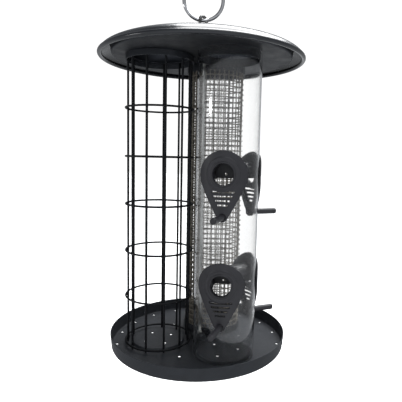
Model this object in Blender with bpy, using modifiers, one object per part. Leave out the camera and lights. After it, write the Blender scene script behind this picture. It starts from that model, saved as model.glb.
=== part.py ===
"""Hanging bird feeder with three tubes under one domed lid, standing on a shared seed tray.

A wire cage for fat balls, a clear tube for loose seed and a mesh tube for peanuts stand in a ring
round one threaded rod, between the tray and a top pan. The lid lifts off the pan for filling, and
the feeder hangs from a ring through an eye nut. Metres, +Z up, -Y is the front. The origin is the
centre of the tray's flat underside.
"""

import math

import bmesh
import bpy
from mathutils import Matrix, Vector

GAP = 0.0003  # left between pieces that touch

# Where the tubes stand, as angles from the front (-Y) towards +X
TUBE_CIRCLE = 0.0481
SEED_ANGLE = math.radians(37.6)
MESH_ANGLE = math.radians(157.6)
CAGE_ANGLE = math.radians(-82.4)

# Seed tray
TRAY_BASE_RADIUS = 0.1033
TRAY_RIM_RADIUS = 0.1046
TRAY_HEIGHT = 0.0156
SHEET = 0.001
TRAY_CORNER = 0.0025
BOSS_RADIUS = 0.0066
BOSS_HEIGHT = 0.0065
SEAT_RADIUS = 0.0313
SEAT_HEIGHT = 0.003
DRAIN_RADIUS = 0.0016
RIM_DRAINS = 18
RIM_DRAIN_CIRCLE = 0.0968
GAP_DRAIN_CIRCLE = 0.053
SEAT_DRAIN_CIRCLE = 0.017
SEAT_DRAINS = {"seed": (3, -25.0), "mesh": (3, 35.0), "cage": (4, -58.0)}

# Top pan and its three filling holes
PAN_Z = 0.3347
PAN_RADIUS = 0.1023
PAN_RIM_RADIUS = 0.1030
PAN_RIM_Z = 0.3430
SEED_HOLE_RADIUS = 0.0317
MESH_HOLE_RADIUS = 0.0329
CAGE_HOLE_RADIUS = 0.0335
LIP = 0.0013
LIP_DROP = 0.0092
COLLAR_RADIUS = 0.0385
COLLAR_WALL = 0.0011
COLLAR_DROP = 0.0060

# Domed lid with a rolled bead
DOME_RADIUS = 0.1155
DOME_RISE = 0.0230
DOME_Z = 0.3338
LID_SHEET = 0.0008
BEAD_RADIUS = 0.00247
BEAD_CIRCLE = 0.11455
LID_HOLE_RADIUS = 0.0029

# Rod, nuts and washers
ROD_RADIUS = 0.0020
ROD_BOTTOM = 0.0006
ROD_TOP = 0.3645
BORE_RADIUS = 0.0024
NUT_RADIUS = 0.0040
NUT_HEIGHT = 0.0032
WASHER_RADIUS = 0.0050
WASHER_HEIGHT = 0.0008
LID_WASHER_RADIUS = 0.0085
LID_WASHER_HEIGHT = 0.0012

# Eye nut and hanging ring
EYE_BASE_RADIUS = 0.0052
EYE_Z = 0.3758
EYE_LOOP_RADIUS = 0.00675
EYE_WIRE = 0.00175
EYE_TURN = math.radians(55)
RING_RADIUS = 0.0222
RING_WIRE = 0.0020
RING_LOWEST_Z = 0.3780  # centre of the wire inside the eye

# Fat-ball cage
CAGE_WIRES = 11
CAGE_PHASE = math.radians(15)
CAGE_WIRE_CIRCLE = 0.0358
CAGE_WIRE_RADIUS = 0.00125
CAGE_RINGS = 6
CAGE_RING_RADIUS = 0.00115
CAGE_TOP_RING_Z = 0.2768
CAGE_RING_PITCH = 0.05439

# Clear seed tube and mesh peanut tube
TUBE_FOOT_Z = SHEET + GAP
TUBE_TOP_Z = PAN_Z - GAP
SEED_TUBE_RADIUS = 0.03468
SEED_TUBE_WALL = 0.0013
MESH_TUBE_RADIUS = 0.0358
MESH_TUBE_WALL = 0.0009
BAND_WALL = 0.0008
BAND_HEIGHT = 0.0085

# Feeding ports: two levels, each with one port towards the front and one towards the side
PORT_HEIGHTS = {"lower": 0.0893, "upper": 0.2063}
PORT_ANGLES = {"front": math.radians(-10.5), "side": math.radians(120.0)}
PLATE_INNER_RADIUS = 0.0350
PLATE_THICKNESS = 0.0020
HEAD_DROP = 0.0010
PLATE_HEAD_RADIUS = 0.0254
PLATE_TIP_RADIUS = 0.0056
TIP_DROP = 0.0438
HOLE_RADIUS = 0.0113
HOLE_RIM_RADIUS = 0.0133
HOLE_RIM_RISE = 0.0013
SLIT_HALF_WIDTHS = (0.0124, 0.0101, 0.0077, 0.0054)
SLIT_FIRST_DROP = 0.0183
SLIT_PITCH = 0.00455
SLIT_HEIGHT = 0.0019
SLIT_MARGIN = 0.0006
LINER_OUTER_RADIUS = 0.0330
LINER_THICKNESS = 0.0016
LINER_HEAD_RADIUS = 0.0218
LINER_TIP_RADIUS = 0.0056
WINDOW_HEAD_RADIUS = 0.0174
WINDOW_TIP_RADIUS = 0.0044
HOOD_RADIUS = 0.0124
HOOD_WALL = 0.0011
HOOD_INNER = 0.0080
HOOD_OUTER = 0.0321
HOOD_SILL_DROP = 0.0053
VENT_RADIUS = 0.0014
VENT_DROP = 0.0009
PERCH_RADIUS = 0.0033
PERCH_DROP = 0.0443
PERCH_LEAN = math.radians(-10)
PERCH_PIVOT = 0.0360
PERCH_INNER = -0.0070
PERCH_OUTER = 0.0304

STEPS_LARGE = 48
STEPS_TUBE = 36
STEPS_PRESSED = 28
STEPS_SMALL = 12


def tube_centre(angle):
    return Vector((TUBE_CIRCLE * math.sin(angle), -TUBE_CIRCLE * math.cos(angle), 0.0))


def collection(name):
    made = bpy.data.collections.new(name)
    bpy.context.scene.collection.children.link(made)
    return made


def material(name, colour, roughness, metallic, alpha=1.0):
    made = bpy.data.materials.new(name)
    made.use_nodes = True
    shader = made.node_tree.nodes["Principled BSDF"]
    shader.inputs["Base Color"].default_value = (*colour, 1.0)
    shader.inputs["Roughness"].default_value = roughness
    shader.inputs["Metallic"].default_value = metallic
    shader.inputs["Alpha"].default_value = alpha
    made.diffuse_color = (*colour, alpha)
    return made


for leftover in list(bpy.data.objects):
    bpy.data.objects.remove(leftover, do_unlink=True)

PARTS = collection("hanging_bird_feeder")
CUTTERS = collection("cutters")

COATED_STEEL = material("coated_steel", (0.035, 0.037, 0.042), 0.45, 0.0)
LID_STEEL = material("lid_steel", (0.030, 0.032, 0.036), 0.25, 0.0)
CLEAR_PLASTIC = material("clear_plastic", (0.90, 0.92, 0.93), 0.05, 0.0, 0.25)
BLACK_PLASTIC = material("black_plastic", (0.030, 0.030, 0.033), 0.50, 0.0)
MESH_STEEL = material("mesh_steel", (0.20, 0.19, 0.17), 0.45, 0.6)
ZINC = material("zinc", (0.62, 0.62, 0.60), 0.35, 1.0)
CHROME = material("chrome", (0.80, 0.80, 0.82), 0.12, 1.0)


def place(name, mesh, surface, matrix=None):
    """A finished sub-part of the feeder."""
    made = bpy.data.objects.new(name, mesh)
    PARTS.objects.link(made)
    made.data.materials.append(surface)
    made.matrix_world = matrix or Matrix()
    return made


def guide(name, mesh, matrix=None):
    """A shape that only cuts or trims others."""
    made = bpy.data.objects.new(name, mesh)
    CUTTERS.objects.link(made)
    made.matrix_world = matrix or Matrix()
    made.hide_render = True
    made.display_type = "WIRE"
    return made


def profile_mesh(name, points, closed):
    mesh = bpy.data.meshes.new(name)
    links = [(i, i + 1) for i in range(len(points) - 1)]
    if closed:
        links.append((len(points) - 1, 0))
    mesh.from_pydata([(x, 0.0, z) for x, z in points], links, [])
    return mesh


def turn(made, steps):
    """Turn the object's profile once round its own Z axis."""
    screw = made.modifiers.new("turn", "SCREW")
    screw.steps = screw.render_steps = steps
    screw.use_merge_vertices = True
    screw.merge_threshold = 0.00001
    screw.use_smooth_shade = False


def turned(name, points, surface, steps=STEPS_LARGE, centre=(0, 0, 0), closed=True):
    made = place(name, profile_mesh(name, points, closed), surface, Matrix.Translation(centre))
    turn(made, steps)
    return made


def turned_guide(name, points, steps, centre):
    made = guide(name, profile_mesh(name, points, True), Matrix.Translation(centre))
    turn(made, steps)
    return made


def band(inner, outer, bottom, top):
    """The closed profile of a plain ring, outer side first and downwards."""
    return [(outer, top), (outer, bottom), (inner, bottom), (inner, top)]


def arc(centre_x, centre_z, radius, start, end, count):
    """Points on an arc, both ends included, angles in degrees from +X."""
    angles = [math.radians(start + (end - start) * i / (count - 1)) for i in range(count)]
    return [(centre_x + radius * math.cos(a), centre_z + radius * math.sin(a)) for a in angles]


def rods_mesh(name, rods, steps=STEPS_SMALL):
    """Solid cylinders along Z in one mesh: each is x, y, radius, bottom, top."""
    shapes = bmesh.new()
    for x, y, radius, bottom, top in rods:
        middle = Matrix.Translation((x, y, (bottom + top) / 2))
        bmesh.ops.create_cone(shapes, cap_ends=True, segments=steps, radius1=radius,
                              radius2=radius, depth=top - bottom, matrix=middle)
    mesh = bpy.data.meshes.new(name)
    shapes.to_mesh(mesh)
    shapes.free()
    return mesh


def outline_mesh(name, outlines, near, far):
    """Flat closed outlines, each with its own list of points, made solid from near to far along Z."""
    curve = bpy.data.curves.new(name, "CURVE")
    curve.dimensions = "2D"
    curve.fill_mode = "BOTH"
    curve.extrude = (far - near) / 2
    for points in outlines:
        spline = curve.splines.new("POLY")
        spline.points.add(len(points) - 1)
        for point, (x, y) in zip(spline.points, points):
            point.co = (x, y, 0.0, 1.0)
        spline.use_cyclic_u = True
    source = bpy.data.objects.new(name, curve)
    CUTTERS.objects.link(source)
    seen = source.evaluated_get(bpy.context.evaluated_depsgraph_get())
    mesh = bpy.data.meshes.new_from_object(seen)
    bpy.data.objects.remove(source)
    shapes = bmesh.new()
    shapes.from_mesh(mesh)
    bmesh.ops.remove_doubles(shapes, verts=shapes.verts, dist=0.000001)
    bmesh.ops.translate(shapes, verts=shapes.verts, vec=(0, 0, (far + near) / 2))
    bmesh.ops.recalc_face_normals(shapes, faces=shapes.faces)
    shapes.to_mesh(mesh)
    shapes.free()
    return mesh


def combine(made, other, operation):
    boolean = made.modifiers.new(operation.lower(), "BOOLEAN")
    boolean.operation = operation
    boolean.solver = "EXACT"
    boolean.object = other


def wire_ring(name, radius, wire_radius, surface, matrix, points, sides=2, phase=0.0):
    """A closed ring of round wire in its own XY plane."""
    curve = bpy.data.curves.new(name, "CURVE")
    curve.dimensions = "3D"
    curve.bevel_depth = wire_radius
    curve.bevel_resolution = sides
    curve.use_fill_caps = True
    spline = curve.splines.new("POLY")
    spline.points.add(points - 1)
    for index, point in enumerate(spline.points):
        angle = phase + 2 * math.pi * index / points
        point.co = (radius * math.cos(angle), radius * math.sin(angle), 0.0, 1.0)
    spline.use_cyclic_u = True
    return place(name, curve, surface, matrix)


# Tray: a pressed pan with a raised centre and three raised seats, all drained


def drain_rods():
    def ring(centre, circle, count, phase):
        for index in range(count):
            angle = math.radians(phase) + 2 * math.pi * index / count
            yield (centre.x + circle * math.sin(angle), centre.y - circle * math.cos(angle))

    middle = Vector((0, 0, 0))
    spots = list(ring(middle, RIM_DRAIN_CIRCLE, RIM_DRAINS, 0.0))
    spots += ring(middle, GAP_DRAIN_CIRCLE, 3, math.degrees(SEED_ANGLE) - 60)
    for key, angle in (("seed", SEED_ANGLE), ("mesh", MESH_ANGLE), ("cage", CAGE_ANGLE)):
        spots += ring(tube_centre(angle), SEAT_DRAIN_CIRCLE, *SEAT_DRAINS[key])
    return [(x, y, DRAIN_RADIUS, -0.002, 0.008) for x, y in spots]


def tray():
    corner = arc(TRAY_BASE_RADIUS - TRAY_CORNER, TRAY_CORNER, TRAY_CORNER, -12, -90, 4)
    inner = arc(TRAY_BASE_RADIUS - TRAY_CORNER, TRAY_CORNER, TRAY_CORNER - SHEET, -90, -12, 3)
    points = [(TRAY_RIM_RADIUS, TRAY_HEIGHT), *corner]
    points += [(BOSS_RADIUS + SHEET, 0.0), (BOSS_RADIUS, BOSS_HEIGHT - SHEET)]
    points += [(BORE_RADIUS, BOSS_HEIGHT - SHEET), (BORE_RADIUS, BOSS_HEIGHT)]
    points += [(BOSS_RADIUS + SHEET, BOSS_HEIGHT), (BOSS_RADIUS + 2 * SHEET, SHEET)]
    points += [*inner, (TRAY_RIM_RADIUS - SHEET, TRAY_HEIGHT)]
    made = turned("tray", points, COATED_STEEL)
    centres = [tube_centre(angle) for angle in (SEED_ANGLE, MESH_ANGLE, CAGE_ANGLE)]
    seat_top = SHEET + SEAT_HEIGHT
    discs = [(c.x, c.y, SEAT_RADIUS, SHEET / 2, seat_top) for c in centres]
    hollows = [(c.x, c.y, SEAT_RADIUS - SHEET, -SHEET, seat_top - SHEET) for c in centres]
    combine(made, guide("tray_seats", rods_mesh("tray_seats", discs, STEPS_PRESSED)), "UNION")
    combine(made, guide("tray_hollows", rods_mesh("tray_hollows", hollows, STEPS_PRESSED)), "DIFFERENCE")
    combine(made, guide("tray_drains", rods_mesh("tray_drains", drain_rods(), 6)), "DIFFERENCE")


# Top pan: the same pan upside up, with a filling hole over each tube


def top_pan():
    points = [(PAN_RIM_RADIUS, PAN_RIM_Z), (PAN_RADIUS, PAN_Z + SHEET)]
    points += [(PAN_RADIUS - SHEET, PAN_Z), (BORE_RADIUS, PAN_Z)]
    points += [(BORE_RADIUS, PAN_Z + SHEET), (PAN_RADIUS - 1.5 * SHEET, PAN_Z + SHEET)]
    points += [(PAN_RADIUS - SHEET, PAN_Z + 1.6 * SHEET), (PAN_RIM_RADIUS - SHEET, PAN_RIM_Z)]
    made = turned("top_pan", points, COATED_STEEL)
    flush, inside = PAN_Z + 1.3 * SHEET, PAN_Z + SHEET / 2
    lips = (
        ("seed", SEED_ANGLE, SEED_HOLE_RADIUS, SEED_HOLE_RADIUS + LIP, LIP_DROP, flush),
        ("mesh", MESH_ANGLE, MESH_HOLE_RADIUS, MESH_HOLE_RADIUS + LIP, LIP_DROP, flush),
        ("cage", CAGE_ANGLE, COLLAR_RADIUS - COLLAR_WALL, COLLAR_RADIUS, COLLAR_DROP, inside),
    )
    holes = []
    for key, angle, inner, outer, _, _ in lips:
        centre = tube_centre(angle)
        hole = CAGE_HOLE_RADIUS if key == "cage" else (inner + outer) / 2
        holes.append((centre.x, centre.y, hole, PAN_Z - SHEET, PAN_Z + 2 * SHEET))
    combine(made, guide("pan_holes", rods_mesh("pan_holes", holes, STEPS_PRESSED)), "DIFFERENCE")
    for key, angle, inner, outer, drop, top in lips:
        lip = band(inner, outer, PAN_Z - drop, top)
        combine(made, turned_guide(f"{key}_lip", lip, STEPS_PRESSED, tube_centre(angle)), "UNION")


# Lid: an elliptical dome of thin sheet, its edge rolled into a bead


def lid():
    def dome(thickness, start, end, count):
        radius, rise = DOME_RADIUS - thickness, DOME_RISE - thickness
        angles = [math.radians(start + (end - start) * i / (count - 1)) for i in range(count)]
        return [(radius * math.cos(a), DOME_Z + rise * math.sin(a)) for a in angles]

    top = math.degrees(math.acos(LID_HOLE_RADIUS / DOME_RADIUS))
    bead = arc(BEAD_CIRCLE, DOME_Z, BEAD_RADIUS, 78, -255, 9)
    points = dome(0.0, top, 9.0, 8) + bead + dome(LID_SHEET, 11.0, top, 6)
    turned("lid", points, LID_STEEL)


# Rod and its fasteners


def hex_nut(name, bottom):
    made = place(name, rods_mesh(name, [(0, 0, NUT_RADIUS, bottom, bottom + NUT_HEIGHT)], 6), ZINC)
    bore = [(0, 0, BORE_RADIUS, bottom - NUT_HEIGHT, bottom + 2 * NUT_HEIGHT)]
    combine(made, guide(f"{name}_bore", rods_mesh(f"{name}_bore", bore)), "DIFFERENCE")


def washer(name, bottom, radius=WASHER_RADIUS, height=WASHER_HEIGHT):
    turned(name, band(BORE_RADIUS, radius, bottom, bottom + height), ZINC, 24)


def rod_and_fasteners():
    rod = [(0, 0, ROD_RADIUS, ROD_BOTTOM, ROD_TOP)]
    place("central_rod", rods_mesh("central_rod", rod), ZINC)
    boss_underside = BOSS_HEIGHT - SHEET
    washer("rod_washer_base", boss_underside - GAP - WASHER_HEIGHT)
    hex_nut("rod_nut_base", boss_underside - 2 * GAP - WASHER_HEIGHT - NUT_HEIGHT)
    hex_nut("rod_nut_tray", BOSS_HEIGHT + GAP)
    hex_nut("rod_nut_pan_under", PAN_Z - GAP - NUT_HEIGHT)
    washer("rod_washer_pan", PAN_Z + SHEET + GAP)
    hex_nut("rod_nut_pan_top", PAN_Z + SHEET + 2 * GAP + WASHER_HEIGHT)


# Hanging gear: lid washer, eye nut and ring


def hanging_gear():
    washer_z = DOME_Z + DOME_RISE + GAP
    washer("lid_washer", washer_z, LID_WASHER_RADIUS, LID_WASHER_HEIGHT)
    base = washer_z + LID_WASHER_HEIGHT + GAP
    neck_top = EYE_Z - EYE_LOOP_RADIUS + EYE_WIRE / 2
    bore_top = ROD_TOP + 0.0015
    profile = [(0.0, neck_top), (0.0028, neck_top - 0.0004), (0.0032, bore_top + 0.0015)]
    profile += [(EYE_BASE_RADIUS, bore_top - 0.0005), (EYE_BASE_RADIUS, base), (BORE_RADIUS, base)]
    profile += [(BORE_RADIUS, bore_top - 0.0008), (0.0, bore_top)]
    eye = turned("eye_nut", profile, ZINC, STEPS_SMALL, closed=False)
    upright = Matrix.Rotation(math.pi / 2, 4, "X")
    bpy.ops.mesh.primitive_torus_add(major_radius=EYE_LOOP_RADIUS, minor_radius=EYE_WIRE,
                                     major_segments=20, minor_segments=8)
    loop = bpy.context.object
    loop_mesh = loop.data
    bpy.data.objects.remove(loop)
    turned_loop = Matrix.Translation((0, 0, EYE_Z)) @ Matrix.Rotation(EYE_TURN, 4, "Z") @ upright
    combine(eye, guide("eye_loop", loop_mesh, turned_loop), "UNION")
    ring_centre = Matrix.Translation((0, 0, RING_LOWEST_Z + RING_RADIUS))
    wire_ring("hanging_ring", RING_RADIUS, RING_WIRE, CHROME, ring_centre @ upright, 36)


# Fat-ball cage: upright wires with welded rings round them


def cage():
    centre = tube_centre(CAGE_ANGLE)
    for index in range(CAGE_WIRES):
        angle = CAGE_PHASE + 2 * math.pi * index / CAGE_WIRES
        x = centre.x + CAGE_WIRE_CIRCLE * math.sin(angle)
        y = centre.y - CAGE_WIRE_CIRCLE * math.cos(angle)
        name = f"cage_wire_{index + 1:02d}"
        wire = [(x, y, CAGE_WIRE_RADIUS, TUBE_FOOT_Z, TUBE_TOP_Z)]
        place(name, rods_mesh(name, wire, 8), COATED_STEEL)
    radius = CAGE_WIRE_CIRCLE + CAGE_WIRE_RADIUS + GAP + CAGE_RING_RADIUS
    for index in range(CAGE_RINGS):
        height = CAGE_TOP_RING_Z - index * CAGE_RING_PITCH
        wire_ring(f"cage_ring_{index + 1}", radius, CAGE_RING_RADIUS, COATED_STEEL,
                  Matrix.Translation((centre.x, centre.y, height)), 2 * CAGE_WIRES, 1,
                  CAGE_PHASE - math.pi / 2)


# Mesh tube for peanuts, hemmed at both ends by a folded band


def mesh_tube():
    centre = tube_centre(MESH_ANGLE)
    wall = band(MESH_TUBE_RADIUS - MESH_TUBE_WALL, MESH_TUBE_RADIUS, TUBE_FOOT_Z, TUBE_TOP_Z)
    turned("mesh_tube", wall, MESH_STEEL, STEPS_TUBE, centre)
    inner = MESH_TUBE_RADIUS + GAP
    for name, bottom in (("lower", TUBE_FOOT_Z), ("upper", TUBE_TOP_Z - BAND_HEIGHT)):
        hem = band(inner, inner + BAND_WALL, bottom, bottom + BAND_HEIGHT)
        turned(f"mesh_band_{name}", hem, COATED_STEEL, STEPS_TUBE, centre)


# Feeding ports. A port's own frame has X across the tube, Y up and Z out of the tube,
# with its origin on the tube's axis at the height of the feeding hole.


def port_frame(angle, height):
    across = Matrix.Rotation(angle, 4, "Z") @ Matrix.Rotation(math.pi / 2, 4, "X")
    return Matrix.Translation(tube_centre(SEED_ANGLE) + Vector((0, 0, height))) @ across


def teardrop(head, tip, steps=8):
    """A round head and a small round tip joined by tangents, seen straight on."""
    lean = math.degrees(math.asin((head - tip) / (TIP_DROP - HEAD_DROP)))
    return (arc(0, -HEAD_DROP, head, -lean, 180 + lean, 2 * steps)
            + arc(0, -TIP_DROP, tip, 180 + lean, 360 - lean, steps // 2))


def disc(radius, x=0.0, y=0.0, steps=16):
    return arc(x, y, radius, 0, 360 * (steps - 1) / steps, steps)


def slits():
    for index, half in enumerate(SLIT_HALF_WIDTHS):
        top = -SLIT_FIRST_DROP - index * SLIT_PITCH + SLIT_HEIGHT / 2
        yield [(-half, top - SLIT_HEIGHT), (half, top - SLIT_HEIGHT), (half, top), (-half, top)]


def slit_opening():
    """The liner's one opening behind all the slits, a margin larger than they are."""
    wide, narrow = SLIT_HALF_WIDTHS[0] + SLIT_MARGIN, SLIT_HALF_WIDTHS[-1] + SLIT_MARGIN
    past = SLIT_HEIGHT / 2 + SLIT_MARGIN
    top = past - SLIT_FIRST_DROP
    bottom = -SLIT_FIRST_DROP - (len(SLIT_HALF_WIDTHS) - 1) * SLIT_PITCH - past
    return [(-narrow, bottom), (narrow, bottom), (wide, top), (-wide, top)]


def hood(name, frame):
    """A hood over the feeding hole on the inside, open below its sill, with a vent in its back."""
    sill = math.degrees(math.asin(HOOD_SILL_DROP / HOOD_RADIUS))
    shell = outline_mesh(name, [arc(0, 0, HOOD_RADIUS, -sill, 180 + sill, 16)], HOOD_INNER, HOOD_OUTER)
    made = guide(name, shell, frame)
    hollow = outline_mesh(f"{name}_hollow", [disc(HOOD_RADIUS - HOOD_WALL)],
                          HOOD_INNER + HOOD_WALL, HOOD_OUTER + 0.001)
    combine(made, guide(f"{name}_hollow", hollow, frame), "DIFFERENCE")
    vent = outline_mesh(f"{name}_vent", [disc(VENT_RADIUS, 0.0, -VENT_DROP, 6)],
                        HOOD_INNER - 0.001, HOOD_INNER + 2 * HOOD_WALL)
    combine(made, guide(f"{name}_vent", vent, frame), "DIFFERENCE")
    return made


def port(level, side, height, angle):
    frame = port_frame(angle, height)
    name = f"{side}_{level}"
    centre = tube_centre(SEED_ANGLE)
    near, far = HOOD_INNER + 0.002, PLATE_INNER_RADIUS + 0.010
    low, high = height - TIP_DROP - 0.010, height + PLATE_HEAD_RADIUS + 0.005
    perch_frame = (frame @ Matrix.Translation((0, -PERCH_DROP, PERCH_PIVOT))
                   @ Matrix.Rotation(PERCH_LEAN, 4, "Y"))
    perch_bore = guide(f"perch_bore_{name}",
                       rods_mesh(f"perch_bore_{name}", [(0, 0, PERCH_RADIUS + GAP, -0.015, 0.010)]),
                       perch_frame)

    def solid(label, *outlines):
        return guide(f"{label}_{name}", outline_mesh(f"{label}_{name}", outlines, near, far), frame)

    outer = PLATE_INNER_RADIUS + PLATE_THICKNESS
    plate = turned(f"port_plate_{name}", band(PLATE_INNER_RADIUS, outer, low, high),
                   BLACK_PLASTIC, STEPS_TUBE, centre)
    combine(plate, solid("plate_outline", teardrop(PLATE_HEAD_RADIUS, PLATE_TIP_RADIUS)), "INTERSECT")
    rim = turned_guide(f"hole_rim_{name}", band(PLATE_INNER_RADIUS, outer + HOLE_RIM_RISE, low, high),
                       STEPS_TUBE, centre)
    combine(rim, solid("rim_outline", disc(HOLE_RIM_RADIUS)), "INTERSECT")
    combine(plate, rim, "UNION")
    combine(plate, solid("plate_cuts", disc(HOLE_RADIUS), *slits()), "DIFFERENCE")
    combine(plate, perch_bore, "DIFFERENCE")

    liner_inner = LINER_OUTER_RADIUS - LINER_THICKNESS
    liner = turned(f"port_liner_{name}", band(liner_inner, LINER_OUTER_RADIUS, low, high),
                   BLACK_PLASTIC, STEPS_TUBE, centre)
    combine(liner, solid("liner_outline", teardrop(LINER_HEAD_RADIUS, LINER_TIP_RADIUS)), "INTERSECT")
    combine(liner, solid("liner_cuts", disc(HOOD_RADIUS - HOOD_WALL), slit_opening()), "DIFFERENCE")
    combine(liner, perch_bore, "DIFFERENCE")
    combine(liner, hood(f"hood_{name}", frame), "UNION")

    rod = rods_mesh(f"perch_{name}", [(0, 0, PERCH_RADIUS, PERCH_INNER, PERCH_OUTER)])
    perch = place(f"perch_{name}", rod, BLACK_PLASTIC, perch_frame)
    bevel = perch.modifiers.new("rounded", "BEVEL")
    bevel.width = 0.0012
    bevel.segments = 2
    return solid("window", teardrop(WINDOW_HEAD_RADIUS, WINDOW_TIP_RADIUS))


def seed_tube():
    wall = band(SEED_TUBE_RADIUS - SEED_TUBE_WALL, SEED_TUBE_RADIUS, TUBE_FOOT_Z, TUBE_TOP_Z)
    made = turned("seed_tube", wall, CLEAR_PLASTIC, STEPS_TUBE, tube_centre(SEED_ANGLE))
    for level, height in PORT_HEIGHTS.items():
        for side, angle in PORT_ANGLES.items():
            combine(made, port(level, side, height, angle), "DIFFERENCE")


tray()
top_pan()
lid()
rod_and_fasteners()
hanging_gear()
cage()
mesh_tube()
seed_tube()
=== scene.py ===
"""Looks of the hanging bird feeder: each piece again at full detail, around the frame of the CAD model.

Metres, +Z up, -Y is the front. Angles about the feeder's axis run from the front towards +X.
"""

import math

import bmesh
import bpy
from mathutils import Matrix, Vector, geometry


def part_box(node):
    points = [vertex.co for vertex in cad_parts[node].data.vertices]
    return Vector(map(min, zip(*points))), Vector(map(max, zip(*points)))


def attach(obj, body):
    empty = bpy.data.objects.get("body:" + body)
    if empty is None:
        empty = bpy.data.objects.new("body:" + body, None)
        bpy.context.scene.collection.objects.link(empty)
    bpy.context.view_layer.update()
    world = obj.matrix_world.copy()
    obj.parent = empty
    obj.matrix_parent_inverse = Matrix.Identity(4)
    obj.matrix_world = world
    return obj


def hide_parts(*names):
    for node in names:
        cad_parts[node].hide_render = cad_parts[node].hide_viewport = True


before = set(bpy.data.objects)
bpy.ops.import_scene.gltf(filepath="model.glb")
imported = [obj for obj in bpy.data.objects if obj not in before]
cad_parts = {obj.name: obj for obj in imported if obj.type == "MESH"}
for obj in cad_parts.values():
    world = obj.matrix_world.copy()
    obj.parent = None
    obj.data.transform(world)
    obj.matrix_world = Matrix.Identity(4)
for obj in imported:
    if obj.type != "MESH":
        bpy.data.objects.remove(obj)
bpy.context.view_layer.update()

MM = 0.001
GAP = 0.3 * MM


# Measures: places and outer sizes come from the CAD model, the rest repeats its sheet and wire sizes


def box_centre(node):
    low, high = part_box(node)
    return Vector(((low[0] + high[0]) / 2, (low[1] + high[1]) / 2, 0.0))


def box_radius(node):
    low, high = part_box(node)
    return (high[0] - low[0]) / 2


def low_z(node):
    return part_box(node)[0][2]


def high_z(node):
    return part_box(node)[1][2]


SEED_CENTRE = box_centre("seed_tube")
MESH_CENTRE = box_centre("mesh_tube")
CAGE_CENTRE = box_centre("cage_ring_1")
CENTRES = (SEED_CENTRE, MESH_CENTRE, CAGE_CENTRE)
TUBE_FOOT, TUBE_HEAD = low_z("seed_tube"), high_z("seed_tube")

SHEET = 1.0 * MM
BORE_RADIUS = 2.4 * MM
HOLE_MARGIN = 0.6 * MM

TRAY_RIM_RADIUS = box_radius("tray")
TRAY_FLARE = 1.3 * MM
TRAY_BASE_RADIUS = TRAY_RIM_RADIUS - TRAY_FLARE
TRAY_HEIGHT = high_z("tray")
TRAY_CORNER = 2.5 * MM
TRAY_LIP = 0.5 * MM
TRAY_EDGE = 0.22 * MM
BOSS_HEIGHT = 6.5 * MM
BOSS_FOOT_RADIUS = 8.6 * MM
BOSS_SLOPE = 2.0 * MM
SEAT_FOOT_RADIUS = 31.5 * MM
SEAT_HEIGHT = 3.0 * MM
SEAT_SLOPE = 2.2 * MM
DRAIN_RADIUS = 1.6 * MM
RIM_DRAIN_CIRCLE = 96.8 * MM
RIM_DRAINS = 18
GAP_DRAIN_CIRCLE = 53.0 * MM
GAP_DRAINS = 3
GAP_DRAIN_PHASE = math.radians(-22.4)
SEAT_DRAIN_CIRCLE = 17.0 * MM
SEAT_DRAINS = ((SEED_CENTRE, 3, -25.0), (MESH_CENTRE, 3, 35.0), (CAGE_CENTRE, 4, -58.0))

PAN_Z = TUBE_HEAD + GAP
PAN_RADIUS = 102.3 * MM
PAN_CORNER = 2.0 * MM
PAN_LIP = 0.4 * MM
PAN_EDGE = 0.2 * MM
PAN_RIM_RADIUS = box_radius("top_pan")
PAN_RIM_Z = high_z("top_pan")
SEED_HOLE_RADIUS = 31.7 * MM
MESH_HOLE_RADIUS = 32.9 * MM
CAGE_HOLE_RADIUS = 33.5 * MM
CAGE_HOLE_MARGIN = 0.8 * MM
HOLE_LIP_DROP = 9.2 * MM
HOLE_LIP_BEND = 1.6 * MM
COLLAR_RADIUS = 38.5 * MM
COLLAR_WALL = 1.1 * MM
COLLAR_DROP = 6.0 * MM
COLLAR_OVERLAP = 0.2 * MM
COLLAR_EDGE = 0.35 * MM

LID_RADIUS = box_radius("lid")
BEAD_RADIUS = 2.47 * MM
BEAD_CIRCLE = LID_RADIUS - BEAD_RADIUS
DOME_Z = low_z("lid") + BEAD_RADIUS
DOME_RISE = high_z("lid") - DOME_Z
DOME_RADIUS = 115.5 * MM
LID_SHEET = 0.8 * MM
LID_HOLE_RADIUS = 2.9 * MM
DOME_OUTER_START, DOME_INNER_START = 7.6, 9.0  # degrees up from the dome's edge
BEAD_ROLL = (72, -230, -262)  # degrees round the bead: its start, its hem's start and its end
BEAD_STEP = 0.5 * MM

ROD_RADIUS = 2.0 * MM
ROD_TIP = 0.4 * MM
ROD_TIP_SHARE = 0.8
ROD_LAST_STEP = 0.1 * MM
THREAD_PITCH = 0.7 * MM
THREAD_DEPTH = 0.35 * MM
THREAD_LOW, THREAD_HIGH = 18 * MM, 40 * MM
THREAD_MARGIN = 1 * MM
PLAIN_STEP = 6 * MM
NUT_CORNER = math.radians(30)
NUT_FLAT_RADIUS = 4.0 * MM * math.cos(NUT_CORNER)
NUT_FACE_SHARE = 0.94
NUT_CHAMFER = math.radians(28)
NUT_MOUTH = 0.4 * MM
WASHER_EDGE = 0.25 * MM

EYE_BASE_RADIUS = 5.2 * MM
EYE_SHOULDER = 2.0 * MM
EYE_NECK_RADIUS = 3.4 * MM
EYE_STEM_RADIUS = 2.6 * MM
EYE_CROWN = 3.0 * MM
EYE_LOOP_RADIUS = 6.75 * MM
EYE_WIRE = 1.75 * MM
EYE_TURN = math.radians(55)
EYE_Z = high_z("eye_nut") - EYE_LOOP_RADIUS - EYE_WIRE
RING_WIRE = 2.0 * MM
RING_RADIUS = box_radius("hanging_ring") - RING_WIRE
RING_Z = high_z("hanging_ring") - RING_RADIUS - RING_WIRE

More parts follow.
